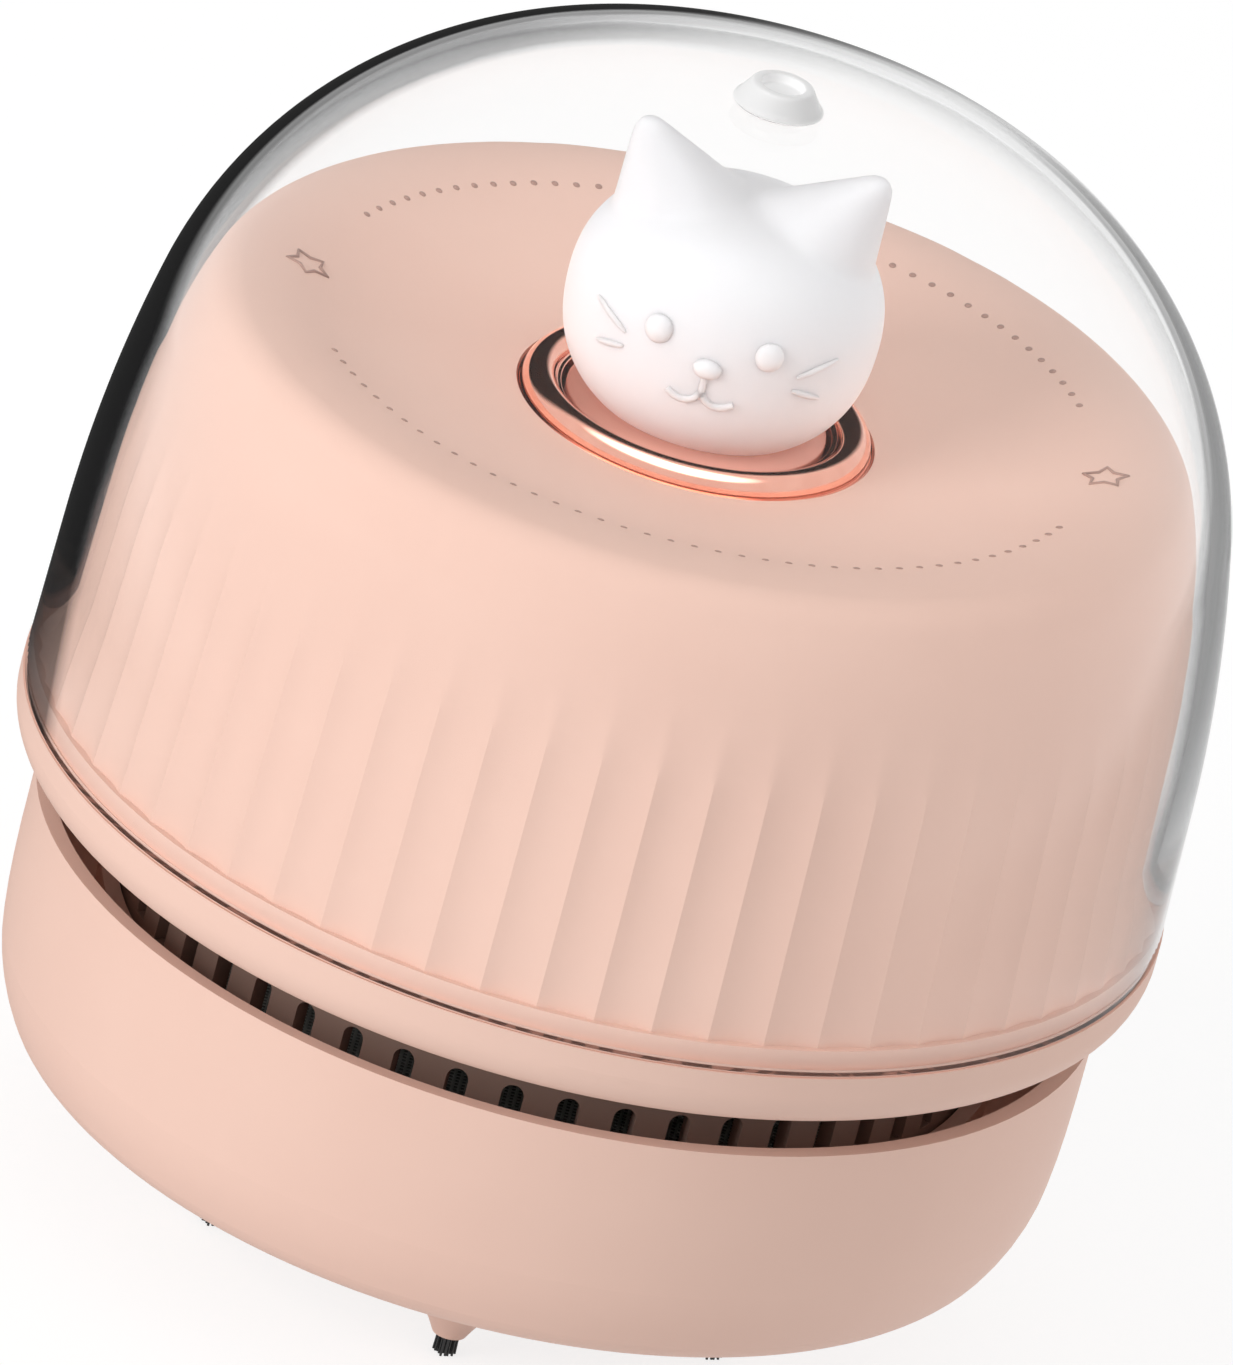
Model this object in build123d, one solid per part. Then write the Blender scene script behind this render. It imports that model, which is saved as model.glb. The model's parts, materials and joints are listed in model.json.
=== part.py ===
from build123d import *
from math import cos, radians, sin, sqrt, tan
import os

os.makedirs("parts", exist_ok=True)

# A round desktop vacuum cleaner. Z points up along its axis, -Y is the front that the cat faces, and the
# origin lies on the axis at the height of the bristle tips it stands on. Millimetres and degrees.
# A bend's end is the angle between its outward normal and the horizon.

# ---- Clearances between neighbours ----
slide_gap = 0.4          # round pieces of different bodies that lift apart
seat_gap = 0.1           # round pieces that are fixed together
shaft_gap = 0.05         # motor shaft in its bearings, on the radius
plunger_gap = 0.08       # switch plunger in its guide, on the radius
rotor_gap = 0.6          # armature inside its magnets
fan_gap = 0.6            # impeller under the pan
fan_side_gap = 2.9       # impeller inside the exhaust ring

# ---- Dust bowl ----
bottom_z = 6.0           # flat underside above the desk
bowl_height = 24.2
rim_inset = 3.1          # bowl's rim behind the lip's edge
rim_wall = 1.35
bowl_wall = 2.4          # wall and floor below the deck
bowl_draft = 0.5
bowl_side_bend_r = 70.0
bowl_side_bend_end = 6.0
bowl_lower_bend_r = 13.4
bowl_lower_bend_end = 30.0
bowl_corner_bend_r = 4.45
bowl_corner_bend_end = 64.7
bowl_floor_bend_r = 42.5
deck_drop = 10.2         # shoulder that carries the deck, below the rim

# ---- Brushes ----
brush_count = 6
brush_circle_r = 23.1
bristle_r = 1.05
bristle_show = 1.75      # bristle length below its holder
bristle_seat = 3.6       # bristle length inside its holder
holder_wall = 0.3        # at the tip
holder_waist_flare = 0.85
holder_waist_rise = 1.5
holder_flare = 3.05      # from the tip to the root

# ---- Suction throat ----
throat_r = 8.0
throat_wall = 1.2
throat_height = 11.5     # above the bowl's underside
throat_mouth_drop = 3.0  # inlet below the bowl's underside
throat_lip_wide = 5.3
throat_lip_flare = 1.0
mouth_round = 1.0

# ---- Deck and exhaust ring ----
deck_thick = 1.4
deck_shelf = 3.0         # deck inside the exhaust ring's face
collar_wall = 1.3
collar_height = 2.6      # above the deck
vent_inset = 8.35        # exhaust ring's face behind the bowl's rim
vent_ring_wall = 1.6
vent_count = 48
vent_width = 1.75
vent_foot_rise = 1.3     # above the ring's lower edge
vent_height = 4.4
ring_flange_wide = 4.3
ring_flange_thick = 2.1

# ---- Filter ----
frame_flange_thick = 1.2
frame_spigot_drop = 2.0  # spigot of the filter frame below the deck's top
frame_spigot_wall = 1.2
frame_ledge = 1.3
frame_ledge_thick = 1.6
frame_hub_r = 4.0
frame_spoke_wide = 2.0
frame_spoke_count = 6
mesh_thick = 1.2
seal_thick = 0.6
seal_wide = 1.9

# ---- Base pan with its rounded lip ----
slot_height = 3.5        # open height between the bowl's rim and the lip
lip_r = 45.45
lip_bend_r = 3.4
lip_straight = 1.7       # upright band between the bend and the dome's seat
pan_thick = 1.6
seat_lap = 0.5           # how far the spigot of the body lies inside its wall
step_height = 1.6        # step inside the dome's foot, which carries the body

# ---- Dome cover ----
dome_inset = 0.1         # foot of the dome behind the lip's edge
dome_wall = 1.6
dome_draft = 1.12
dome_bend_drop = 7.0     # the dome starts to bend this far below the body
dome_shoulder_r = 115.0
dome_shoulder_end = 11.7
dome_bend_r = 33.7
dome_bend_end = 77.9
knob_base_r = 3.5
knob_taper = 1.1
knob_height = 1.65
knob_rim = 0.7           # round the hollow in its top
knob_dimple_deep = 0.8

# ---- Fluted body shell ----
body_inset = 2.55        # foot of the body behind the lip's edge
body_draft = 2.5
body_straight = 17.0     # height of the straight wall
body_shoulder_r = 67.0
body_shoulder_end = 12.3
body_bend_r = 30.6
body_bend_end = 23.3
crest_bend_r = 3.0
crest_bend_end = 84.0
brow_bend_r = 14.0
brow_bend_end = 106.35
shell_thick = 1.8
spigot_drop = 2.0        # spigot below the body's foot
spigot_wall = 1.6
flute_count = 60
flute_r = 6.0
flute_deep = 0.4
flute_overrun = 3.0      # cutter past the point where it leaves the wall
column_r = 2.6
column_inset = 6.3       # screw columns behind the body's foot
column_angles = (60, 120, 250, 290)

# ---- Button, bezel and cat head ----
button_travel = 2.0
bezel_r = 14.2
bezel_wide = 3.5         # from its edge to the button's hole
bezel_seat_deep = 0.9
bezel_edge_rise = 0.15
bezel_edge_wide = 0.5
bezel_crest_inset = 1.6
bezel_crest_height = 1.4
bezel_roll_wide = 2.2    # width of the raised roll
bezel_slope_foot = 0.4
well_inset = 1.4         # guide sleeve under the top, inside the bezel's edge
well_wall = 1.5
well_depth = 5.5
well_roof = 2.05         # thickness over the sleeve, at the middle of the top
stem_flange_thick = 1.6
stem_peg_r = 3.4
stem_peg_height = 2.5
head_lift = 0.15         # chin above the lowest point of the top
head_r = 12.33
head_half_height = 10.7
head_power = 2.35         # how square the head's outline is
head_cut = 0.5           # flat ground off the chin
ear_spread = 4.3         # middle of an ear's root from the axis
ear_root_rise = 4.5      # above the middle of the head
ear_lean = 4.5           # outward lean of an ear's tip
ear_height = 7.4
ear_root_r = 7.0
ear_tip_r = 1.7
spring_r = 6.6
spring_wire_r = 0.35
spring_turns = 5

# ---- Motor and impeller ----
motor_r = 12.2
motor_length = 16.0
motor_wall = 0.8
motor_nose_r = 3.0
motor_nose_drop = 1.2
end_cap_thick = 2.0
magnet_thick = 2.4
magnet_span = 130
armature_clear = 3.0     # each end of the armature from the can's ends
armature_slot = 1.2
armature_slot_deep = 4.0
commutator_r = 3.5
commutator_length = 1.5
shaft_r = 1.0
shaft_seat = 1.5         # shaft length inside the end cap
fan_plate = 1.2
blade_count = 12
blade_height = 5.8
blade_thick = 1.0
blade_root_r = 9.0
blade_curve_r = 16.0
hub_r = 5.0
bridge_wide = 12.0
bridge_thick = 1.6
bridge_leg_gap = 7.8     # between the motor and a leg
bridge_leg = 2.5
bridge_foot = 6.5

# ---- Switch ----
board_thick = 1.2
switch_board_wide = 26.0
switch_board_deep = 18.0
switch_side = 7.0
switch_height = 6.0
plunger_end_gap = 0.2     # left under the plunger when the button is down
plunger_r = 1.5
plunger_seat = 1.2       # plunger length inside its guide at rest

# ---- Battery ----
cell_r = 7.0
cell_length = 48.5
cell_gap = 1.2           # between the motor and the cell
cradle_base = 1.0
cradle_wide = 42.0
cradle_deep = 13.0
saddle_x = 17.0
saddle_wide = 5.0
contact_thick = 0.4
contact_wide = 8.0
contact_height = 10.0

# ---- Charging board and its socket ----
charge_board_wide = 20.0
charge_board_deep = 21.0
charge_board_thick = 1.0
socket_wide = 8.94
socket_deep = 10.2
socket_high = 3.16
socket_wall = 0.3
socket_sink = 0.6        # socket below the pan's floor
socket_inset = 1.4       # mouth behind the lip's edge
socket_lap = 4.15        # socket length under the board
socket_port_gap = 0.15
tongue_thick = 0.7
tongue_wide = 6.7
tongue_root = 3.0
tongue_inset = 0.8
post_r = 1.7
post_x = 7.6
post_edge = 3.0          # front posts inside the board's edge
post_pitch = 11.0

# ---- Screws ----
screw_r = 1.0
screw_head_r = 1.9
screw_head_thick = 1.2
screw_slot = 0.5
ring_screw_angles = (30, 150, 270)
ring_screw_length = 3.5
shell_screw_length = 9.0
small_screw_length = 2.6


# ---- Helpers ----
def turned(outline):
    """A solid of revolution about Z from an outline in radius and height."""
    return revolve(Plane.XZ * make_face(outline), Axis.Z)


def turned_points(*points):
    return turned(Polyline(*points, close=True))


def tube(outer_r, inner_r, low, high):
    return turned_points((inner_r, low), (outer_r, low), (outer_r, high), (inner_r, high))


def disc(radius, low, high):
    return turned_points((0, low), (radius, low), (radius, high), (0, high))


def block(x_span, y_span, z_span):
    size = [high - low for low, high in (x_span, y_span, z_span)]
    middle = [(high + low) / 2 for low, high in (x_span, y_span, z_span)]
    return Pos(*middle) * Box(*size)


def polar(radius, angle, height=0.0):
    return Pos(radius * cos(radians(angle)), radius * sin(radians(angle)), height)


def arc_point(centre, radius, angle):
    return (centre[0] + radius * cos(radians(angle)), centre[1] + radius * sin(radians(angle)))


def straight_end(start, lean, straight):
    """Where a straight wall ends. It rises if its normal leans up and falls if it leans down."""
    rise = straight if lean > 0 else -straight
    return (start[0] - straight * tan(radians(abs(lean))), start[1] + rise)


def bends_end(start, lean, bends):
    """Where a run of bends ends. Each bend is a radius and the lean of the normal at its end."""
    for bend_r, end in bends:
        start = arc_point(arc_point(start, -bend_r, lean), bend_r, end)
        lean = end
    return start


def wall_line(start, lean, straight, bends, inset):
    """A wall's section from its free edge inwards, moved in by a thickness.

    The straight stretch and the bends join without a kink. A negative radius makes a hollow bend.
    """
    first_point = (start[0] - inset / cos(radians(lean)), start[1])
    point = straight_end(start, lean, straight)
    arcs = []
    for bend_r, end in bends:
        centre = arc_point(point, -bend_r, lean)
        first_angle = lean if bend_r > 0 else lean + 180
        arcs.append(CenterArc(centre, abs(bend_r - inset), first_angle, end - lean))
        point = arc_point(centre, bend_r, end)
        lean = end
    return [Line(first_point, arcs[0] @ 0), *arcs]


def solid_to_axis(edges):
    """The solid between a section that ends on the axis and the flat through its free edge."""
    start = edges[0] @ 0
    end = edges[-1] @ 1
    return turned([*edges, Line((end.X, end.Y), (0, start.Y)), Line((0, start.Y), (start.X, start.Y))])


def screw(length):
    """A slotted screw with the underside of its head at the origin, pointing up."""
    body = disc(screw_head_r, -screw_head_thick, 0) + disc(screw_r, 0, length)
    return body - block((-screw_head_r, screw_head_r), (-screw_slot / 2, screw_slot / 2),
                        (-screw_head_thick, -screw_head_thick / 2))


def screw_down(length):
    return Rot(180, 0, 0) * screw(length)


def stadium(wide, tall, y_span, middle_z):
    """A flat-sided round bar along Y."""
    outline = Plane.XZ * (Pos(0, middle_z) * SlotOverall(wide, tall))
    return Pos(0, y_span[0], 0) * extrude(outline, amount=y_span[1] - y_span[0], dir=(0, 1, 0))


# ---- Levels and radii that follow from the sizes above ----
rim_r = lip_r - rim_inset
vent_ring_r = rim_r - vent_inset
deck_hole_r = vent_ring_r - deck_shelf
rim_z = bottom_z + bowl_height
bowl_bends = ((bowl_side_bend_r, -bowl_side_bend_end), (bowl_lower_bend_r, -bowl_lower_bend_end),
              (bowl_corner_bend_r, -bowl_corner_bend_end), (bowl_floor_bend_r, -90))
bowl_straight = bowl_height + bends_end((0, 0), -bowl_draft, bowl_bends)[1]
bowl_inner_r = rim_r - rim_wall
deck_z = rim_z - deck_drop
deck_top_z = deck_z + deck_thick
frame_top_z = deck_top_z + frame_flange_thick
seal_top_z = frame_top_z + seal_thick
collar_inner_r = vent_ring_r + slide_gap
spigot_r = deck_hole_r - slide_gap
mesh_r = spigot_r - frame_spigot_wall
throat_outer_r = throat_r + throat_wall

pan_low_z = rim_z + slot_height
pan_top_z = pan_low_z + pan_thick
lip_bend_z = pan_low_z + lip_bend_r
seat_z = lip_bend_z + lip_straight
body_foot_z = seat_z + step_height
ring_flange_z = pan_low_z - ring_flange_thick
ring_screw_r = vent_ring_r + ring_flange_wide / 2

dome_foot_r = lip_r - dome_inset
dome_straight = step_height + body_straight - dome_bend_drop
dome_bends = ((dome_shoulder_r, dome_shoulder_end), (dome_bend_r, dome_bend_end))
dome_bend_top = bends_end(straight_end((dome_foot_r, seat_z), dome_draft, dome_straight),
                          dome_draft, dome_bends)
crown_r = dome_bend_top[0] / cos(radians(dome_bend_end))
knob_top_r = knob_base_r - knob_taper
step_r = dome_foot_r - dome_wall - slide_gap

body_foot_r = lip_r - body_inset
column_circle_r = body_foot_r - column_inset
body_bends = ((body_shoulder_r, body_shoulder_end), (body_bend_r, body_bend_end),
              (crest_bend_r, crest_bend_end), (brow_bend_r, brow_bend_end))
brow_end = bends_end(straight_end((body_foot_r, body_foot_z), body_draft, body_straight),
                     body_draft, body_bends)
dish_r = -brow_end[0] / cos(radians(brow_bend_end))
dish_centre_z = brow_end[1] + dish_r * sin(radians(brow_bend_end))
dish_low_z = dish_centre_z - dish_r
pan_inner_r = body_foot_r - shell_thick + seat_lap
body_spigot_r = pan_inner_r - seat_gap

button_hole_r = bezel_r - bezel_wide
well_r = bezel_r - well_inset
well_stop_z = dish_low_z - well_roof
stem_low_z = well_stop_z - stem_flange_thick
chin_z = dish_low_z + head_lift
head_centre_z = chin_z - head_cut + head_half_height
bezel_low_z = dish_centre_z - sqrt(dish_r ** 2 - bezel_r ** 2) - bezel_seat_deep

motor_inner_r = motor_r - motor_wall
motor_top_z = pan_top_z + motor_length
cap_top_z = motor_top_z + end_cap_thick
bridge_top_z = cap_top_z + bridge_thick
bridge_inner_x = motor_r + bridge_leg_gap
bridge_outer_x = bridge_inner_x + bridge_leg
bridge_screw_x = bridge_outer_x + bridge_foot / 2
switch_foot_z = bridge_top_z + board_thick
switch_top_z = switch_foot_z + switch_height
switch_screw_x = switch_board_wide / 2 - screw_head_r
armature_r = motor_inner_r - magnet_thick - rotor_gap
armature_low_z = pan_top_z + armature_clear
armature_high_z = motor_top_z - armature_clear
impeller_r = vent_ring_r - vent_ring_wall - fan_side_gap
impeller_top_z = pan_low_z - fan_gap
blade_top_z = impeller_top_z - fan_plate
blade_low_z = blade_top_z - blade_height

cell_y = -(motor_r + cell_gap + cell_r)
cell_z = pan_top_z + cradle_base + cell_r
socket_z = pan_top_z - socket_sink + socket_high / 2
board_low_z = socket_z + socket_high / 2
board_top_z = board_low_z + charge_board_thick
socket_front_y = lip_r - socket_inset
socket_back_y = socket_front_y - socket_deep
board_back_y = socket_back_y + socket_lap
board_front_y = board_back_y - charge_board_deep
post_spots = [(side * post_x, board_front_y + post_edge + row * post_pitch)
              for side in (-1, 1) for row in (0, 1)]


# ---- Dust bowl ----
def bowl_solid(inset):
    section = wall_line((rim_r, rim_z), -bowl_draft, bowl_straight, bowl_bends, inset)
    floor_end = section[-1] @ 1
    return solid_to_axis([*section, Line((floor_end.X, floor_end.Y), (0, floor_end.Y))])


def brush_spot(index):
    return polar(brush_circle_r, index * 360 / brush_count - 90)


def brush_holder():
    """A trumpet that flares from its tip into the bowl's underside."""
    tip_r = bristle_r + holder_wall
    waist = (tip_r + holder_waist_flare, bristle_show + holder_waist_rise)
    base_r = tip_r + holder_flare
    root_z = bottom_z + bowl_wall / 2
    return turned([
        Line((0, bristle_show), (tip_r, bristle_show)),
        ThreePointArc((tip_r, bristle_show), waist, (base_r, bottom_z)),
        Line((base_r, bottom_z), (base_r, root_z)),
        Line((base_r, root_z), (0, root_z)),
        Line((0, root_z), (0, bristle_show)),
    ])


def brush_tuft(index):
    return brush_spot(index) * disc(bristle_r, 0, bristle_show + bristle_seat)


def dust_bowl():
    bowl = bowl_solid(0)
    bowl -= bowl_solid(bowl_wall) & disc(rim_r, bottom_z, deck_z)
    bowl -= disc(bowl_inner_r, deck_z, rim_z)
    for index in range(brush_count):
        bowl += brush_spot(index) * brush_holder()
    for index in range(brush_count):
        bowl -= brush_tuft(index)
    return bowl - disc(throat_outer_r, bottom_z, deck_z)


def suction_throat():
    """The inlet tube with the flared mouth that is seated in the bowl's floor."""
    mouth_z = bottom_z - throat_mouth_drop
    top_z = bottom_z + throat_height
    lip = throat_outer_r + throat_lip_wide
    return turned_points(
        (throat_r + mouth_round, mouth_z), (lip, mouth_z), (lip + throat_lip_flare, bottom_z),
        (throat_outer_r, bottom_z), (throat_outer_r, top_z), (throat_r, top_z),
        (throat_r, mouth_z + mouth_round))


def bowl_collar():
    """The deck on the bowl's shoulder, with the collar that the exhaust ring stands in."""
    outer_r = collar_inner_r + collar_wall
    deck_r = bowl_inner_r - seat_gap
    top_z = deck_top_z + collar_height
    return turned_points((deck_hole_r, deck_z), (deck_r, deck_z), (deck_r, deck_top_z),
                         (outer_r, deck_top_z), (outer_r, top_z), (collar_inner_r, top_z),
                         (collar_inner_r, deck_top_z), (deck_hole_r, deck_top_z))


# ---- Filter ----
frame_low_z = deck_top_z - frame_spigot_drop
mesh_low_z = frame_low_z + frame_ledge_thick


def filter_frame():
    ledge_r = mesh_r - frame_ledge
    frame = turned_points((ledge_r, frame_low_z), (spigot_r, frame_low_z), (spigot_r, deck_top_z),
                          (vent_ring_r, deck_top_z), (vent_ring_r, frame_top_z), (mesh_r, frame_top_z),
                          (mesh_r, mesh_low_z), (ledge_r, mesh_low_z))
    frame += disc(frame_hub_r, frame_low_z, mesh_low_z)
    spoke = block((frame_hub_r / 2, ledge_r + frame_ledge / 2),
                  (-frame_spoke_wide / 2, frame_spoke_wide / 2), (frame_low_z, mesh_low_z))
    for index in range(frame_spoke_count):
        frame += Rot(0, 0, index * 360 / frame_spoke_count) * spoke
    return frame


def filter_mesh():
    return disc(mesh_r, mesh_low_z, mesh_low_z + mesh_thick)


def filter_seal():
    return tube(vent_ring_r, vent_ring_r - seal_wide, frame_top_z, seal_top_z)


# ---- Exhaust ring ----
def vent_cutter():
    """One arched outlet, a slot with a round top that crosses the ring's wall along X."""
    half = vent_width / 2
    foot_z = seal_top_z + vent_foot_rise
    top_z = foot_z + vent_height
    outline = Plane.YZ * make_face([
        Line((-half, foot_z), (half, foot_z)),
        Line((half, foot_z), (half, top_z - half)),
        ThreePointArc((half, top_z - half), (0, top_z), (-half, top_z - half)),
        Line((-half, top_z - half), (-half, foot_z)),
    ])
    cutter = extrude(outline, amount=3 * vent_ring_wall, dir=(1, 0, 0))
    return Pos(vent_ring_r - 2 * vent_ring_wall, 0, 0) * cutter


def exhaust_ring():
    inner_r = vent_ring_r - vent_ring_wall
    outer_r = vent_ring_r + ring_flange_wide
    ring = turned_points((inner_r, seal_top_z), (vent_ring_r, seal_top_z), (vent_ring_r, ring_flange_z),
                         (outer_r, ring_flange_z), (outer_r, pan_low_z), (inner_r, pan_low_z))
    ring -= [Rot(0, 0, index * 360 / vent_count - 90) * vent_cutter() for index in range(vent_count)]
    for angle in ring_screw_angles:
        ring -= polar(ring_screw_r, angle) * disc(screw_r, ring_flange_z, pan_low_z)
    for angle in column_angles:
        ring -= polar(column_circle_r, angle) * disc(screw_head_r + seat_gap, ring_flange_z, pan_low_z)
    return ring


def ring_screws():
    """Screws down through the pan into the exhaust ring's flange."""
    return Compound([polar(ring_screw_r, angle, pan_top_z) * screw_down(ring_screw_length)
                     for angle in ring_screw_angles])


# ---- Base pan ----
def base_pan():
    bend = (lip_r - lip_bend_r, lip_bend_z)
    pan = turned([
        Line((0, pan_low_z), (bend[0], pan_low_z)),
        CenterArc(bend, lip_bend_r, -90, 90),
        Line((lip_r, lip_bend_z), (lip_r, seat_z)),
        Line((lip_r, seat_z), (step_r, seat_z)),
        Line((step_r, seat_z), (step_r, body_foot_z)),
        Line((step_r, body_foot_z), (pan_inner_r, body_foot_z)),
        Line((pan_inner_r, body_foot_z), (pan_inner_r, pan_top_z)),
        Line((pan_inner_r, pan_top_z), (0, pan_top_z)),
        Line((0, pan_top_z), (0, pan_low_z)),
    ])
    for x, y in post_spots:
        pan += Pos(x, y) * disc(post_r, pan_top_z, board_low_z)
        pan -= Pos(x, y) * disc(screw_r, board_top_z - small_screw_length, board_low_z)
    for side in (-1, 1):
        pan -= Pos(side * bridge_screw_x) * disc(screw_r, pan_low_z, pan_top_z)
    for angle in ring_screw_angles:
        pan -= polar(ring_screw_r, angle) * disc(screw_r + seat_gap, pan_low_z, pan_top_z)
    for angle in column_angles:
        pan -= polar(column_circle_r, angle) * disc(screw_r + seat_gap, pan_low_z, pan_top_z)
    pan -= disc(motor_nose_r + seat_gap, pan_low_z, pan_top_z)
    return pan - charging_port()


def charging_port():
    """The channel for the socket through the pan's floor and wall."""
    return stadium(socket_wide + 2 * socket_port_gap, socket_high + 2 * socket_port_gap,
                   (socket_back_y - socket_port_gap, lip_r + socket_port_gap), socket_z)


def shell_screws():
    """Screws up through the pan into the columns of the body shell."""
    return Compound([polar(column_circle_r, angle, pan_low_z) * screw(shell_screw_length)
                     for angle in column_angles])


# ---- Dome cover ----
def dome_section(inset):
    return wall_line((dome_foot_r, seat_z), dome_draft, dome_straight, (*dome_bends, (crown_r, 90)), inset)


def dome_cover():
    section = dome_section(0)
    top_z = (section[-1] @ 1).Y
    sunk_z = top_z - dome_wall / 2
    knob_z = top_z + knob_height
    dome = solid_to_axis(section) - solid_to_axis(dome_section(dome_wall))
    dome += turned_points((0, sunk_z), (knob_base_r, sunk_z), (knob_base_r, top_z),
                          (knob_top_r, knob_z), (0, knob_z))
    return dome - disc(knob_top_r - knob_rim, knob_z - knob_dimple_deep, knob_z)


# ---- Body shell ----
def body_solid(inset):
    return solid_to_axis(wall_line((body_foot_r, body_foot_z), body_draft, body_straight,
                                   (*body_bends, (-dish_r, 90)), inset))


def flute_cutter():
    """A round bar along the wall's slope. It runs out of the wall where the wall bends in."""
    slope = Vector(-sin(radians(body_draft)), 0, cos(radians(body_draft)))
    low = Vector(body_foot_r - flute_deep + flute_r, 0, body_foot_z) - slope
    rise = body_shoulder_r * (sin(radians(body_shoulder_end)) - sin(radians(body_draft)))
    return extrude(Plane(origin=low, z_dir=slope) * Circle(flute_r),
                   amount=body_straight + rise + flute_overrun)


def screw_column(angle):
    """A screw column from the pan up into the top, kept inside the outer surface."""
    column = polar(column_circle_r, angle) * disc(column_r, pan_top_z, dish_centre_z)
    room = body_solid(shell_thick / 2) + disc(body_spigot_r - spigot_wall / 2, pan_top_z, body_foot_z)
    hole = polar(column_circle_r, angle) * disc(screw_r, pan_top_z, pan_low_z + shell_screw_length)
    return (column & room) - hole


def body_shell():
    shell = body_solid(0)
    shell -= [Rot(0, 0, (index + 0.5) * 360 / flute_count - 90) * flute_cutter()
              for index in range(flute_count)]
    shell -= body_solid(shell_thick)
    shell += tube(body_spigot_r, body_spigot_r - spigot_wall,
                  body_foot_z - spigot_drop, body_foot_z + spigot_drop)
    shell += tube(well_r + well_wall, well_r, well_stop_z - well_depth, well_stop_z)
    shell += tube(well_r + well_wall, button_hole_r, well_stop_z, dish_low_z)
    for angle in column_angles:
        shell += screw_column(angle)
    shell -= disc(button_hole_r, well_stop_z, dish_centre_z)
    return shell - disc(bezel_r, bezel_low_z, dish_centre_z)


# ---- Bezel ring and button ----
def button_bezel():
    edge_z = bezel_low_z + bezel_seat_deep + bezel_edge_rise
    edge_r = bezel_r - bezel_edge_wide
    inner_z = bezel_low_z + bezel_slope_foot
    crest = (bezel_r - bezel_crest_inset, edge_z + bezel_crest_height)
    inner_r = edge_r - bezel_roll_wide
    return turned([
        Line((button_hole_r, bezel_low_z), (bezel_r, bezel_low_z)),
        Line((bezel_r, bezel_low_z), (bezel_r, edge_z)),
        Line((bezel_r, edge_z), (edge_r, edge_z)),
        ThreePointArc((edge_r, edge_z), crest, (inner_r, edge_z)),
        Line((inner_r, edge_z), (button_hole_r, inner_z)),
        Line((button_hole_r, inner_z), (button_hole_r, bezel_low_z)),
    ])


def head_edge(direction):
    """Half of the head's squarish outline, from its widest level up or down to the axis."""
    share = 2 / head_power
    corners = [(head_r * cos(radians(angle)) ** share,
                head_centre_z + direction * head_half_height * sin(radians(angle)) ** share)
               for angle in range(0, 90, 15)]
    pole = (0, head_centre_z + direction * head_half_height)
    return Spline(*corners, pole, tangents=((0, direction), (-1, 0)))


def ear(side):
    root = Vector(side * ear_spread, 0, head_centre_z + ear_root_rise)
    tip = root + Vector(side * ear_lean, 0, ear_height)
    lean = (tip - root).normalized()
    cone = loft([Plane(origin=root, z_dir=lean) * Circle(ear_root_r),
                 Plane(origin=tip, z_dir=lean) * Circle(ear_tip_r)])
    return cone + Pos(tip.X, tip.Y, tip.Z) * Sphere(ear_tip_r)


def cat_head():
    """A squarish ball with two ears, on a flat chin with a blind hole for the stem."""
    axis = Line((0, head_centre_z + head_half_height), (0, head_centre_z - head_half_height))
    head = turned([head_edge(1), axis, head_edge(-1)])
    head += [ear(-1), ear(1)]
    head -= disc(head_r, chin_z - 2 * head_cut, chin_z)
    return head - disc(stem_peg_r, chin_z, chin_z + stem_peg_height)


def button_stem():
    flange_r = well_r - slide_gap
    skirt_r = button_hole_r - slide_gap
    peg_z = chin_z + stem_peg_height
    return turned_points((0, stem_low_z), (flange_r, stem_low_z), (flange_r, well_stop_z),
                         (skirt_r, well_stop_z), (skirt_r, chin_z), (stem_peg_r, chin_z),
                         (stem_peg_r, peg_z), (0, peg_z))


def button_spring():
    """A coil spring between the switch board and the stem."""
    end_gap = spring_wire_r + seat_gap / 2
    height = stem_low_z - switch_foot_z - 2 * end_gap
    path = Pos(0, 0, switch_foot_z + end_gap) * Helix(
        pitch=height / spring_turns, height=height, radius=spring_r)
    wire = Plane(origin=path @ 0, z_dir=path % 0) * Circle(spring_wire_r)
    return sweep(wire, path=path)


# ---- Motor and impeller ----
def motor_can():
    nose_z = pan_top_z - motor_nose_drop
    plate_z = pan_top_z + motor_wall
    bore_r = shaft_r + shaft_gap
    return turned_points((bore_r, nose_z), (motor_nose_r, nose_z), (motor_nose_r, pan_top_z),
                         (motor_r, pan_top_z), (motor_r, motor_top_z), (motor_inner_r, motor_top_z),
                         (motor_inner_r, plate_z), (bore_r, plate_z))


def motor_magnets():
    """Two curved magnets on the left and right inside the can."""
    ring = tube(motor_inner_r, motor_inner_r - magnet_thick, armature_low_z, armature_high_z)
    reach = 2 * motor_r / cos(radians(magnet_span / 2))
    corners = [arc_point((0, 0), reach, side * magnet_span / 2) for side in (-1, 1)]
    sector = extrude(make_face(Polyline((0, 0), *corners, close=True)), amount=motor_top_z)
    return Compound([ring & (Rot(0, 0, angle) * sector) for angle in (0, 180)])


def motor_end_cap():
    return tube(motor_r, shaft_r + shaft_gap, motor_top_z, cap_top_z)


def motor_armature():
    core = tube(armature_r, shaft_r, armature_low_z, armature_high_z)
    slot = block((armature_r - armature_slot_deep, armature_r),
                 (-armature_slot / 2, armature_slot / 2), (armature_low_z, armature_high_z))
    for index in range(3):
        core -= Rot(0, 0, index * 120) * slot
    return core + tube(commutator_r, shaft_r, armature_high_z, armature_high_z + commutator_length)


def motor_shaft():
    return disc(shaft_r, blade_low_z, motor_top_z + shaft_seat)


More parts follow.
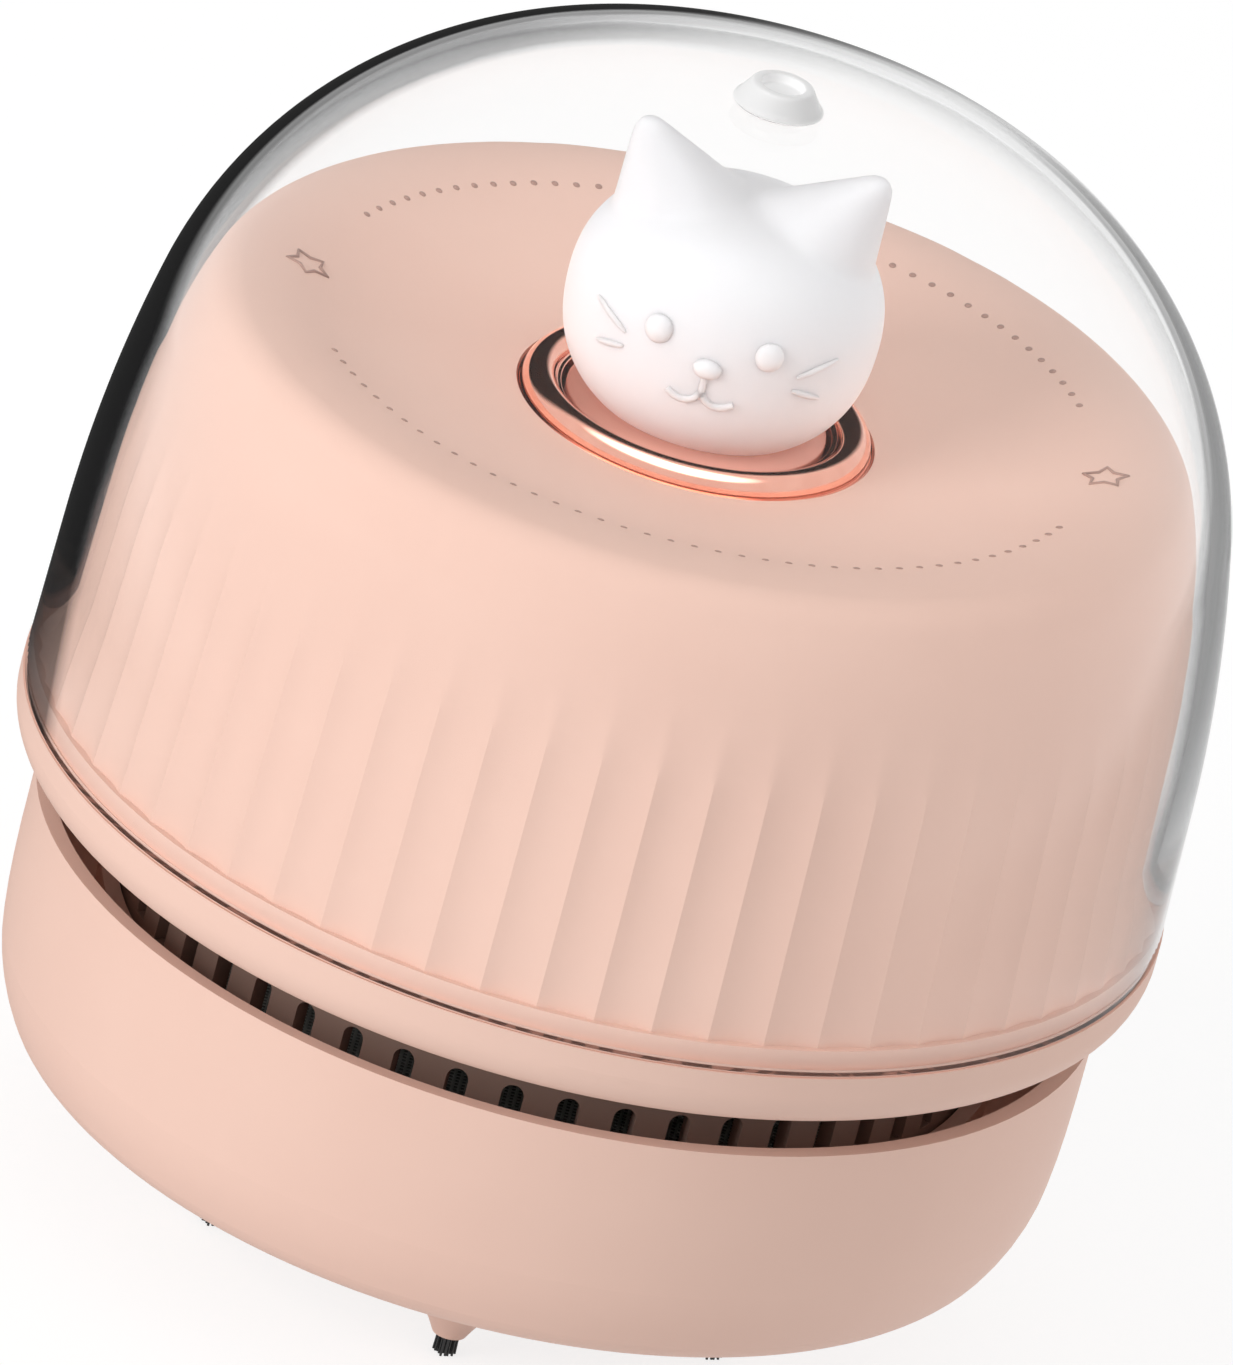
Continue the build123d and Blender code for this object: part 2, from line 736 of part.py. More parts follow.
def impeller():
    """A back plate with curved blades hanging from it, round a hub on the shaft."""
    wheel = tube(impeller_r, shaft_r, blade_top_z, impeller_top_z)
    wheel += tube(hub_r, shaft_r, blade_low_z, blade_top_z)
    curve = Circle(blade_curve_r + blade_thick / 2) - Circle(blade_curve_r - blade_thick / 2)
    reach = Circle(impeller_r - blade_thick) - Circle(blade_root_r)
    middle_r = (blade_root_r + impeller_r) / 2
    outline = (Pos(middle_r, -blade_curve_r) * curve) & reach
    blade = Pos(0, 0, blade_low_z) * extrude(outline.faces().sort_by(Axis.Y)[-1], amount=blade_height)
    for index in range(blade_count):
        wheel += Rot(0, 0, index * 360 / blade_count) * blade
    return wheel


def motor_bridge():
    """The strap over the motor, which holds it down and carries the switch board."""
    half = bridge_wide / 2
    bridge = block((-bridge_outer_x, bridge_outer_x), (-half, half), (cap_top_z, bridge_top_z))
    leg = block((bridge_inner_x, bridge_outer_x), (-half, half), (pan_top_z, bridge_top_z))
    foot = block((bridge_outer_x, bridge_outer_x + bridge_foot), (-half, half),
                 (pan_top_z, pan_top_z + bridge_thick))
    for angle in (0, 180):
        bridge += Rot(0, 0, angle) * (leg + foot)
        bridge -= polar(bridge_screw_x, angle) * disc(screw_r, pan_top_z, bridge_top_z)
        bridge -= polar(switch_screw_x, angle) * disc(screw_r, cap_top_z, bridge_top_z)
    return bridge


def bridge_screws():
    top_z = pan_top_z + bridge_thick
    return Compound([polar(bridge_screw_x, angle, top_z) * screw_down(small_screw_length)
                     for angle in (0, 180)])


# ---- Switch ----
def switch_board():
    wide, deep = switch_board_wide / 2, switch_board_deep / 2
    board = block((-wide, wide), (-deep, deep), (bridge_top_z, switch_foot_z))
    for angle in (0, 180):
        board -= polar(switch_screw_x, angle) * disc(screw_r, bridge_top_z, switch_foot_z)
    return board


def board_screws():
    """Two screws for the switch board and four for the charging board."""
    seats = [(side * switch_screw_x, 0, switch_foot_z) for side in (-1, 1)]
    seats += [(x, y, board_top_z) for x, y in post_spots]
    return Compound([Pos(*seat) * screw_down(small_screw_length) for seat in seats])


def switch_body():
    half = switch_side / 2
    body = block((-half, half), (-half, half), (switch_foot_z, switch_top_z))
    bore_z = switch_top_z - plunger_seat - button_travel - plunger_end_gap
    return body - disc(plunger_r + plunger_gap, bore_z, switch_top_z)


def switch_plunger():
    return disc(plunger_r, switch_top_z - plunger_seat, stem_low_z)


# ---- Battery ----
def battery_cell():
    half = cell_length / 2
    outline = Plane.YZ * (Pos(cell_y, cell_z) * Circle(cell_r))
    return Pos(-half, 0, 0) * extrude(outline, amount=cell_length, dir=(1, 0, 0))


def battery_cradle():
    """A plate with two saddles that reach up to the middle of the cell."""
    y_span = (cell_y - cradle_deep / 2, cell_y + cradle_deep / 2)
    cradle = block((-cradle_wide / 2, cradle_wide / 2), y_span, (pan_top_z, pan_top_z + cradle_base))
    for middle in (-saddle_x, saddle_x):
        cradle += block((middle - saddle_wide / 2, middle + saddle_wide / 2), y_span, (pan_top_z, cell_z))
    return cradle - battery_cell()


def cell_contact(angle):
    x_span = (cell_length / 2, cell_length / 2 + contact_thick)
    plate = block(x_span, (-contact_wide / 2, contact_wide / 2), (pan_top_z, pan_top_z + contact_height))
    return Pos(0, cell_y, 0) * (Rot(0, 0, angle) * plate)


# ---- Charging board ----
def charging_board():
    half = charge_board_wide / 2
    board = block((-half, half), (board_front_y, board_back_y), (board_low_z, board_top_z))
    for x, y in post_spots:
        board -= Pos(x, y) * disc(screw_r, board_low_z, board_top_z)
    return board


def socket_bore(y_span):
    return stadium(socket_wide - 2 * socket_wall, socket_high - 2 * socket_wall, y_span, socket_z)


def charging_socket():
    y_span = (socket_back_y, socket_front_y)
    return stadium(socket_wide, socket_high, y_span, socket_z) - socket_bore(y_span)


def socket_tongue():
    """The block that closes the socket's back, with the contact tongue in front of it."""
    root_y = socket_back_y + tongue_root
    tongue = block((-tongue_wide / 2, tongue_wide / 2), (root_y, socket_front_y - tongue_inset),
                   (socket_z - tongue_thick / 2, socket_z + tongue_thick / 2))
    return socket_bore((socket_back_y, root_y)) + tongue


# ---- All pieces by name ----
pieces = {
    "dust_bowl": dust_bowl(),
    "suction_throat": suction_throat(),
    "bowl_collar": bowl_collar(),
    "filter_frame": filter_frame(),
    "filter_mesh": filter_mesh(),
    "filter_seal": filter_seal(),
    "exhaust_ring": exhaust_ring(),
    "ring_screws": ring_screws(),
    "base_pan": base_pan(),
    "shell_screws": shell_screws(),
    "dome_cover": dome_cover(),
    "body_shell": body_shell(),
    "button_bezel": button_bezel(),
    "cat_head": cat_head(),
    "button_stem": button_stem(),
    "button_spring": button_spring(),
    "motor_can": motor_can(),
    "motor_magnets": motor_magnets(),
    "motor_end_cap": motor_end_cap(),
    "motor_armature": motor_armature(),
    "motor_shaft": motor_shaft(),
    "impeller": impeller(),
    "motor_bridge": motor_bridge(),
    "bridge_screws": bridge_screws(),
    "switch_board": switch_board(),
    "board_screws": board_screws(),
    "switch_body": switch_body(),
    "switch_plunger": switch_plunger(),
    "battery_cell": battery_cell(),
    "battery_cradle": battery_cradle(),
    "right_contact": cell_contact(0),
    "left_contact": cell_contact(180),
    "charging_board": charging_board(),
    "charging_socket": charging_socket(),
    "socket_tongue": socket_tongue(),
}
for index in range(brush_count):
    pieces[f"brush_tuft_{index + 1}"] = brush_tuft(index)

for name, piece in pieces.items():
    export_step(piece, f"parts/{name}.step")
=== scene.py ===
"""Desktop vacuum cleaner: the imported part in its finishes, with a finer dome, body, ring, button,
spring and bristles, a raised face on the button, and stars and dots on the sunken top."""

import json
import math

import bpy
from mathutils import Matrix, Vector


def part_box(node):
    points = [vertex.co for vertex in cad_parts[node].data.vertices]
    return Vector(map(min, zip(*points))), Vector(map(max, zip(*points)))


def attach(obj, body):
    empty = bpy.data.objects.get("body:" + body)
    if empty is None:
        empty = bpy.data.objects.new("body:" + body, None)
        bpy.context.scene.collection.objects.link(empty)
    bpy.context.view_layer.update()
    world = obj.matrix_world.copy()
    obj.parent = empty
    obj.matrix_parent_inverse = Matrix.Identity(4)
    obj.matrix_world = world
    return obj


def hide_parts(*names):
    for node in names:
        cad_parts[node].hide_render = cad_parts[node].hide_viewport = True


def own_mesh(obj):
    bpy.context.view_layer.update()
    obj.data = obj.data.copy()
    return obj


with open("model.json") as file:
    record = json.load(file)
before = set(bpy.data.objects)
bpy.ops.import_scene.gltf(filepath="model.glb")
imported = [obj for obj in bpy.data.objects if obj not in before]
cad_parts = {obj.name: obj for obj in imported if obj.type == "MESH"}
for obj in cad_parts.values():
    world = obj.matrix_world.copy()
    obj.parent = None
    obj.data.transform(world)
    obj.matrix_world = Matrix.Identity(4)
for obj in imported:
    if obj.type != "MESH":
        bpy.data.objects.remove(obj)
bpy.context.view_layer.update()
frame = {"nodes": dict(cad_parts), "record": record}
nodes = frame["nodes"]
# The object's sizes are in mm, or in metres where they are multiplied by MM. The studio's are in metres,
# and angles are in degrees.
MM = 0.001
EDGE_TURN = 30


# ---- Working with Blender's operators ----
def pick_only(*objects):
    """Deselects everything, then selects these objects and makes the first one active."""
    bpy.ops.object.select_all(action="DESELECT")
    for piece in objects:
        piece.select_set(True)
    bpy.context.view_layer.objects.active = objects[0]


def fresh(name):
    """The object that an operator has just added, under its own name."""
    piece = bpy.context.active_object
    piece.name = name
    piece.data.name = name
    return piece


def finish_with(piece, kind, **settings):
    """Adds a modifier and applies it."""
    modifier = piece.modifiers.new(kind.title(), kind)
    for name, value in settings.items():
        setattr(modifier, name, value)
    pick_only(piece)
    bpy.ops.object.modifier_apply(modifier=modifier.name)


def round_edges(piece, width):
    """Rounds the edges that turn by more than EDGE_TURN degrees, by this width in mm."""
    finish_with(piece, "BEVEL", width=width * MM, segments=3, limit_method="ANGLE",
                angle_limit=math.radians(EDGE_TURN))


def place_in_mesh(piece):
    """Puts the object's place, turn and size into its mesh."""
    pick_only(piece)
    bpy.ops.object.transform_apply(location=True, rotation=True, scale=True)


def join(name, pieces):
    pick_only(*pieces)
    bpy.ops.object.join()
    return fresh(name)


def smooth(piece, angle=None):
    pick_only(piece)
    if angle is None:
        bpy.ops.object.shade_smooth()
    else:
        bpy.ops.object.shade_smooth_by_angle(angle=math.radians(angle))


def facing(direction):
    """The turn that takes +Z to this direction."""
    return Vector(direction).to_track_quat("Z", "Y").to_euler()


def traced(name, spots, closed=False, thick=0.0):
    """A line through these points in metres as a mesh, or a tube of this thickness along it.

    Each point is a place and, for a tube, the share of the thickness that it has there.
    """
    curve = bpy.data.curves.new(name, "CURVE")
    curve.dimensions = "3D"
    curve.bevel_depth = thick / 2
    curve.bevel_resolution = 3
    curve.use_fill_caps = True
    spline = curve.splines.new("POLY")
    spline.points.add(len(spots) - 1)
    spline.use_cyclic_u = closed
    for point, (place, width) in zip(spline.points, spots):
        point.co = (*place, 1)
        point.radius = width
    piece = bpy.data.objects.new(name, curve)
    bpy.context.scene.collection.objects.link(piece)
    pick_only(piece)
    bpy.ops.object.convert(target="MESH")
    return fresh(name)


def spun(name, outline, steps):
    """A section in radius and height, in mm, spun about the axis."""
    piece = traced(name, [(Vector((r, 0, z)) * MM, 1.0) for r, z in outline])
    bpy.ops.object.mode_set(mode="EDIT")
    bpy.ops.mesh.select_all(action="SELECT")
    bpy.ops.mesh.spin(steps=steps, angle=2 * math.pi, center=(0, 0, 0), axis=(0, 0, 1))
    bpy.ops.mesh.select_all(action="SELECT")
    bpy.ops.mesh.remove_doubles(threshold=1e-6)
    bpy.ops.mesh.normals_make_consistent(inside=False)
    bpy.ops.object.mode_set(mode="OBJECT")
    return piece


# ---- Materials ----
DRIFT_SCALE = 38.0
TONE_STOPS = (0.35, 0.65)
NOISE_SPAN = (0.3, 0.7)
PLASTIC_GLOSS_DRIFT = 0.04
METAL_GLOSS_SHARES = (0.75, 1.3)
WEAVE_DEEP = 0.05
WAVE_RATE = 20
CLEAR_IOR = 1.25
CLEAR = (1.0, 1.0, 1.0, 1.0)


def tone(red, green, blue):
    """A colour given in the 0 to 255 numbers of a screen, as Blender's linear colour."""
    shares = [value / 255 for value in (red, green, blue)]
    return tuple(s / 12.92 if s <= 0.04045 else ((s + 0.055) / 1.055) ** 2.4 for s in shares) + (1.0,)


def link(tree, source, target):
    tree.links.new(source, target)


def add(tree, kind, **inputs):
    """A shader node with its inputs set by name, where _ stands for a space."""
    node = tree.nodes.new(kind)
    for name, value in inputs.items():
        node.inputs[name.replace("_", " ")].default_value = value
    return node


def new_material(name, **sockets):
    made = bpy.data.materials.new(name)
    made.use_nodes = True
    shader = made.node_tree.nodes["Principled BSDF"]
    for socket, value in sockets.items():
        shader.inputs[socket.replace("_", " ")].default_value = value
    return made, made.node_tree, shader


def object_noise(tree, scale, detail=2.0, roughness=0.5, stretch=(1, 1, 1)):
    place = tree.nodes.new("ShaderNodeTexCoord")
    mapping = add(tree, "ShaderNodeMapping", Scale=stretch)
    noise = add(tree, "ShaderNodeTexNoise", Scale=scale, Detail=detail, Roughness=roughness)
    link(tree, place.outputs["Object"], mapping.inputs["Vector"])
    link(tree, mapping.outputs["Vector"], noise.inputs["Vector"])
    return noise.outputs["Fac"]


def mottle(tree, shader, noise, light, dark):
    """Colour that drifts between two tones over the surface."""
    ramp = tree.nodes.new("ShaderNodeValToRGB")
    for stop, position, colour in zip(ramp.color_ramp.elements, TONE_STOPS, (dark, light)):
        stop.position, stop.color = position, colour
    link(tree, noise, ramp.inputs["Fac"])
    link(tree, ramp.outputs["Color"], shader.inputs["Base Color"])


def vary(tree, noise, low, high, socket):
    spread = add(tree, "ShaderNodeMapRange", From_Min=NOISE_SPAN[0], From_Max=NOISE_SPAN[1], To_Min=low,
                 To_Max=high)
    link(tree, noise, spread.inputs["Value"])
    link(tree, spread.outputs["Result"], socket)


def grain(tree, shader, noise, height):
    bump = add(tree, "ShaderNodeBump", Strength=1.0, Distance=height)
    link(tree, noise, bump.inputs["Height"])
    link(tree, bump.outputs["Normal"], shader.inputs["Normal"])


def moulded(name, light, dark, roughness=0.5, grain_size=0.35, grain_height=0.004, **sockets):
    """Moulded plastic: a spark-eroded grain, a faint drift of tone and of gloss. Sizes in mm."""
    made, tree, shader = new_material(name, Roughness=roughness, **sockets)
    drift = object_noise(tree, DRIFT_SCALE, detail=3.0)
    mottle(tree, shader, drift, light, dark)
    fine = object_noise(tree, 1 / (grain_size * MM), roughness=0.6)
    vary(tree, fine, roughness - PLASTIC_GLOSS_DRIFT, roughness + PLASTIC_GLOSS_DRIFT,
         shader.inputs["Roughness"])
    grain(tree, shader, fine, grain_height * MM)
    return made


def metal(name, colour, dark, roughness=0.25, brush=(1, 1, 1), scale=900.0, height=0.002):
    """Bare or plated metal, brushed along the axes that have the smallest numbers in brush."""
    made, tree, shader = new_material(name, Metallic=1.0, Roughness=roughness)
    lines = object_noise(tree, scale, detail=3.0, roughness=0.6, stretch=brush)
    mottle(tree, shader, lines, colour, dark)
    vary(tree, lines, roughness * METAL_GLOSS_SHARES[0], roughness * METAL_GLOSS_SHARES[1],
         shader.inputs["Roughness"])
    grain(tree, shader, lines, height * MM)
    return made


def woven(name, light, dark, thread):
    """Cloth of crossed threads, thread being their pitch in mm."""
    made, tree, shader = new_material(name, Roughness=0.85)
    place = tree.nodes.new("ShaderNodeTexCoord")
    waves = []
    for direction in ("X", "Y"):
        wave = add(tree, "ShaderNodeTexWave", Scale=1 / (thread * MM) / WAVE_RATE * 2 * math.pi,
                   Distortion=0.0)
        wave.bands_direction = direction
        link(tree, place.outputs["Object"], wave.inputs["Vector"])
        waves.append(wave.outputs["Fac"])
    cross = tree.nodes.new("ShaderNodeMath")
    cross.operation = "MAXIMUM"
    link(tree, waves[0], cross.inputs[0])
    link(tree, waves[1], cross.inputs[1])
    mottle(tree, shader, cross.outputs["Value"], light, dark)
    grain(tree, shader, cross.outputs["Value"], WEAVE_DEEP * MM)
    return made


def let_lamps_through(tree, shader):
    """Rays from the lamps pass clear plastic, so that what stands behind it is lit."""
    path = tree.nodes.new("ShaderNodeLightPath")
    clear = tree.nodes.new("ShaderNodeBsdfTransparent")
    mix = tree.nodes.new("ShaderNodeMixShader")
    link(tree, path.outputs["Is Shadow Ray"], mix.inputs["Fac"])
    link(tree, shader.outputs["BSDF"], mix.inputs[1])
    link(tree, clear.outputs["BSDF"], mix.inputs[2])
    link(tree, mix.outputs["Shader"], tree.nodes["Material Output"].inputs["Surface"])


def edge_ramp(tree, facing_share, stops):
    """A colour that follows how nearly the surface is seen edge on."""
    ramp = tree.nodes.new("ShaderNodeValToRGB")
    ramp.color_ramp.elements[0].position, ramp.color_ramp.elements[0].color = stops[0]
    ramp.color_ramp.elements[1].position, ramp.color_ramp.elements[1].color = stops[1]
    for position, colour in stops[2:]:
        ramp.color_ramp.elements.new(position).color = colour
    link(tree, facing_share, ramp.inputs["Fac"])
    return ramp.outputs["Color"]


def clear_plastic(name, **sockets):
    """The dome's plastic, as clear or as cloudy as its sockets say."""
    made, tree, shader = new_material(name, IOR=CLEAR_IOR, **sockets)
    let_lamps_through(tree, shader)
    return made, tree, shader


def clear_dome():
    """Clear polystyrene with a painted reflection where it is seen edge on: a painted dark edge on its left
    and a painted grey edge on its right.
    """
    made, tree, shader = clear_plastic("clear_polystyrene", Transmission_Weight=1.0, Roughness=0.0)
    edge = add(tree, "ShaderNodeLayerWeight", Blend=0.5)
    left = edge_ramp(tree, edge.outputs["Facing"], PAINTED_DARK_EDGE_LEFT)
    right = edge_ramp(tree, edge.outputs["Facing"], PAINTED_GREY_EDGE_RIGHT)
    place = tree.nodes.new("ShaderNodeTexCoord")
    sides = tree.nodes.new("ShaderNodeSeparateXYZ")
    side = add(tree, "ShaderNodeMapRange", From_Min=PAINTED_EDGE_SIDE_SPAN[0] * MM, From_Max=PAINTED_EDGE_SIDE_SPAN[1] * MM)
    side.interpolation_type = "SMOOTHSTEP"
    link(tree, place.outputs["Object"], sides.inputs["Vector"])
    link(tree, sides.outputs["X"], side.inputs["Value"])
    # Painted reflection: the left's dark edge and the right's grey edge, mixed across the dome from side to
    # side.
    painted_edge_colour = tree.nodes.new("ShaderNodeMix")
    painted_edge_colour.data_type = "RGBA"
    link(tree, side.outputs["Result"], painted_edge_colour.inputs["Factor"])
    link(tree, left, painted_edge_colour.inputs["A"])
    link(tree, right, painted_edge_colour.inputs["B"])
    link(tree, painted_edge_colour.outputs["Result"], shader.inputs["Base Color"])
    return made


# Painted reflection on the dome's edges: the span of x in mm where the left's dark edge gives way to the
# right's grey one, then each side's colours against how nearly the surface is seen edge on.
PAINTED_EDGE_SIDE_SPAN = (-24, 6)
PAINTED_DARK_EDGE_LEFT = ((0.67, CLEAR), (0.73, tone(76, 76, 77)), (1.0, tone(50, 50, 52)))
PAINTED_GREY_EDGE_RIGHT = ((0.70, CLEAR), (0.80, tone(222, 223, 223)), (0.93, tone(134, 134, 135)),
               (1.0, tone(96, 96, 98)))

blush = moulded("blush_plastic", tone(243, 206, 190), tone(240, 202, 186), 0.52)
# A darker copy of the blush plastic for the body: painted shade for the body seen through the dome.
blush_painted_shade = moulded("blush_plastic_painted_shade", tone(236, 199, 183), tone(233, 195, 179), 0.55)
blush_dark = moulded("shaded_blush_plastic", tone(168, 140, 128), tone(160, 133, 121), 0.55)
dome_clear = clear_dome()
seated_clear = clear_plastic("seated_foot", Transmission_Weight=0.0, Roughness=0.3,
                             Base_Color=tone(240, 204, 189))[0]
knob_clear = clear_plastic("cloudy_knob", Transmission_Weight=0.08, Roughness=0.2,
                           Base_Color=tone(252, 252, 252))[0]
rose_gold = metal("rose_gold_plating", tone(238, 178, 158), tone(232, 168, 148), 0.09, scale=300.0,
                  height=0.0005)
rose_satin = moulded("satin_rose_plating", tone(232, 168, 150), tone(226, 160, 142), 0.38,
                     grain_height=0.001, Metallic=0.35)
milk_white = moulded("frosted_white_plastic", tone(238, 238, 240), tone(235, 235, 238), 0.42,
                     grain_size=0.25, grain_height=0.002, Subsurface_Weight=0.7,
                     Subsurface_Radius=(1, 1, 1), Subsurface_Scale=1.6 * MM)
stone_grey = moulded("stone_grey_plastic", tone(122, 122, 124), tone(112, 112, 115), 0.55)
jet_black = moulded("jet_black_plastic", tone(34, 34, 36), tone(28, 28, 30), 0.45)
bristle_black = moulded("black_nylon", tone(30, 29, 30), tone(14, 14, 15), 0.35, grain_size=0.12)
seal_black = moulded("black_rubber", tone(38, 37, 38), tone(30, 30, 31), 0.75, grain_height=0.01)
filter_white = woven("filter_cloth_weave", tone(232, 232, 226), tone(176, 176, 170), 0.55)
satin_steel = metal("satin_steel", tone(200, 201, 205), tone(172, 174, 180), 0.28, brush=(1, 1, 12))
magnet_grey = metal("sintered_magnet", tone(92, 92, 96), tone(70, 70, 74), 0.5, scale=1500.0,
                    height=0.01)
copper_core = metal("wound_copper", tone(206, 128, 84), tone(150, 84, 52), 0.35, brush=(1, 1, 30),
                    scale=500.0, height=0.06)
board_green = moulded("board_lacquer", tone(28, 96, 58), tone(20, 78, 46), 0.3, grain_size=1.2)
cell_blue = moulded("cell_shrink_wrap", tone(66, 108, 168), tone(56, 94, 152), 0.28, grain_size=2.5,
                    grain_height=0.02)
printed_rose = moulded("printed_rose_tone", tone(178, 142, 129), tone(168, 132, 120), 0.6)

finishes = {
    "pink_plastic": blush, "exhaust_plastic": blush_dark, "clear_plastic": dome_clear,
    "rose_plating": rose_gold, "white_plastic": milk_white, "grey_plastic": stone_grey,
    "bristles": bristle_black, "filter_cloth": filter_white, "seal_rubber": seal_black,
    "steel": satin_steel, "magnet": magnet_grey, "copper_core": copper_core,
    "board_green": board_green, "cell_wrap": cell_blue, "black_plastic": jet_black,
}


def dress(piece, material):
    piece.data.materials.clear()
    piece.data.materials.append(material)


for row in frame["record"]["subparts"]:
    dress(nodes[row["node"]], finishes[row["material_slot"]])


# ---- Camera ----
AXIS_POINT = Vector((0, 0, 39.24 * MM))
ELEVATION = math.radians(25.32)
LEAN = math.radians(15.02)
DISTANCE = 4.1
SENSOR = 36.0
PIXELS_PER_MM = 12.92
FRAME_HEIGHT = 1365 / PIXELS_PER_MM * MM
RIGHT_OF_AXIS = 20.8 / PIXELS_PER_MM * MM
ABOVE_AXIS = 102.3 / PIXELS_PER_MM * MM

level = Vector((1, 0, 0))
upright = Vector((0, math.sin(ELEVATION), math.cos(ELEVATION)))
image_right = level * math.cos(LEAN) + upright * math.sin(LEAN)
image_up = upright * math.cos(LEAN) - level * math.sin(LEAN)
toward_camera = image_right.cross(image_up)
target = AXIS_POINT + image_right * RIGHT_OF_AXIS + image_up * ABOVE_AXIS
bpy.ops.object.camera_add(location=target + toward_camera * DISTANCE)
camera = bpy.context.active_object
camera.rotation_euler = Matrix((image_right, image_up, toward_camera)).transposed().to_euler()
camera.data.sensor_width = SENSOR
camera.data.lens = SENSOR / 2 / (FRAME_HEIGHT / 2 / DISTANCE)
camera.data.clip_start, camera.data.clip_end = 0.1, 50.0
bpy.context.scene.camera = camera


# ---- Studio ----
LAMPS_AIM = Vector((0, 0, 0.05))
SKY_LIGHT = 0.53
SKY_SHOWN = 1.0
FLOOR_SIZE = 6.0
FLOOR_GREY = 0.8
FLOOR_SHOWN_GLOW = 0.80
FLOOR_SHOWN_GREY = 0.28
CARD_EDGE = 0.45


def softbox(name, place, size, power):
    bpy.ops.object.light_add(type="AREA", location=place)
    lamp = bpy.context.active_object
    lamp.name = name
    lamp.data.shape = "SQUARE"
    lamp.data.size = size
    lamp.data.energy = power
    lamp.rotation_euler = facing(Vector(place) - LAMPS_AIM)
    lamp.visible_glossy = lamp.visible_transmission = False


softbox("key_softbox", (-0.95, -0.80, 0.50), 0.7, 9.4)
softbox("right_softbox", (1.05, 0.35, 0.30), 0.6, 2.6)

bpy.context.scene.view_settings.view_transform = "Standard"
world = bpy.data.worlds.new("studio")
bpy.context.scene.world = world
world.use_nodes = True


def seen_directly(tree):
    """1 for rays from the camera and for what metal and clear plastic show, else 0."""
    path = tree.nodes.new("ShaderNodeLightPath")
    total = path.outputs["Is Camera Ray"]
    for name in ("Is Glossy Ray", "Is Transmission Ray"):
        either = tree.nodes.new("ShaderNodeMath")
        either.operation = "MAXIMUM"
        link(tree, total, either.inputs[0])
        link(tree, path.outputs[name], either.inputs[1])
        total = either.outputs["Value"]
    return total


sky = world.node_tree
sky.nodes["Background"].inputs["Color"].default_value = (1, 1, 1, 1)
sky_strength = add(sky, "ShaderNodeMapRange", To_Min=SKY_LIGHT, To_Max=SKY_SHOWN)
link(sky, seen_directly(sky), sky_strength.inputs["Value"])
link(sky, sky_strength.outputs["Result"], sky.nodes["Background"].inputs["Strength"])

bpy.ops.mesh.primitive_plane_add(size=FLOOR_SIZE)
floor = fresh("studio_floor")
floor_paint, floor_tree, floor_shader = new_material(
    "pale_floor", Base_Color=(*[FLOOR_GREY] * 3, 1), Roughness=0.9, Specular_IOR_Level=0.0)
floor_glow = add(floor_tree, "ShaderNodeEmission", Strength=FLOOR_SHOWN_GLOW)
floor_seen = add(floor_tree, "ShaderNodeBsdfDiffuse", Color=(*[FLOOR_SHOWN_GREY] * 3, 1))
floor_sum = floor_tree.nodes.new("ShaderNodeAddShader")
floor_mix = floor_tree.nodes.new("ShaderNodeMixShader")
link(floor_tree, floor_glow.outputs["Emission"], floor_sum.inputs[0])
link(floor_tree, floor_seen.outputs["BSDF"], floor_sum.inputs[1])
link(floor_tree, seen_directly(floor_tree), floor_mix.inputs["Fac"])
link(floor_tree, floor_shader.outputs["BSDF"], floor_mix.inputs[1])
link(floor_tree, floor_sum.outputs["Shader"], floor_mix.inputs[2])
link(floor_tree, floor_mix.outputs["Shader"], floor_tree.nodes["Material Output"].inputs["Surface"])
dress(floor, floor_paint)


def card(name, place, wide, tall, glow, aim, passed=-1):
    """A soft-edged studio card, black where its glow is 0, that only shows in what shiny pieces mirror.

    Rays that have only been let through by clear plastic pass it. With passed at 2 it also stays
    out of what the dome itself mirrors, and shows in the pieces under the dome alone.
    """
    bpy.ops.mesh.primitive_plane_add(size=1.0, location=place)
    board = fresh(name)
    board.scale = (wide, tall, 1)
    board.rotation_euler = facing(Vector(aim) - Vector(place))
    paint = bpy.data.materials.new(name + "_card")
    paint.use_nodes = True
    tree = paint.node_tree
    tree.nodes.remove(tree.nodes["Principled BSDF"])
    middle = add(tree, "ShaderNodeMapping", Location=(-1, -1, 0), Scale=(2, 2, 0))
    fade = tree.nodes.new("ShaderNodeTexGradient")
    fade.gradient_type = "SPHERICAL"
    soft = add(tree, "ShaderNodeMapRange", From_Min=0.0, From_Max=CARD_EDGE)
    soft.interpolation_type = "SMOOTHSTEP"
    path = tree.nodes.new("ShaderNodeLightPath")
    mix = tree.nodes.new("ShaderNodeMixShader")
    link(tree, tree.nodes.new("ShaderNodeTexCoord").outputs["UV"], middle.inputs["Vector"])
    link(tree, middle.outputs["Vector"], fade.inputs["Vector"])
    link(tree, fade.outputs["Fac"], soft.inputs["Value"])
    share = soft.outputs["Result"]
    for depth, least in (("Glossy Depth", 0), ("Transmission Depth", passed)):
        enough = tree.nodes.new("ShaderNodeMath")
        enough.operation = "GREATER_THAN"
        enough.inputs[1].default_value = least + 0.5
        both = tree.nodes.new("ShaderNodeMath")
        both.operation = "MULTIPLY"
        link(tree, path.outputs[depth], enough.inputs[0])
        link(tree, share, both.inputs[0])
        link(tree, enough.outputs["Value"], both.inputs[1])
        share = both.outputs["Value"]
    link(tree, share, mix.inputs["Fac"])
    link(tree, tree.nodes.new("ShaderNodeBsdfTransparent").outputs["BSDF"], mix.inputs[1])
    link(tree, add(tree, "ShaderNodeEmission", Strength=glow).outputs["Emission"], mix.inputs[2])
    link(tree, mix.outputs["Shader"], tree.nodes["Material Output"].inputs["Surface"])
    dress(board, paint)
    board.visible_camera = board.visible_diffuse = board.visible_shadow = False
    place_in_mesh(board)


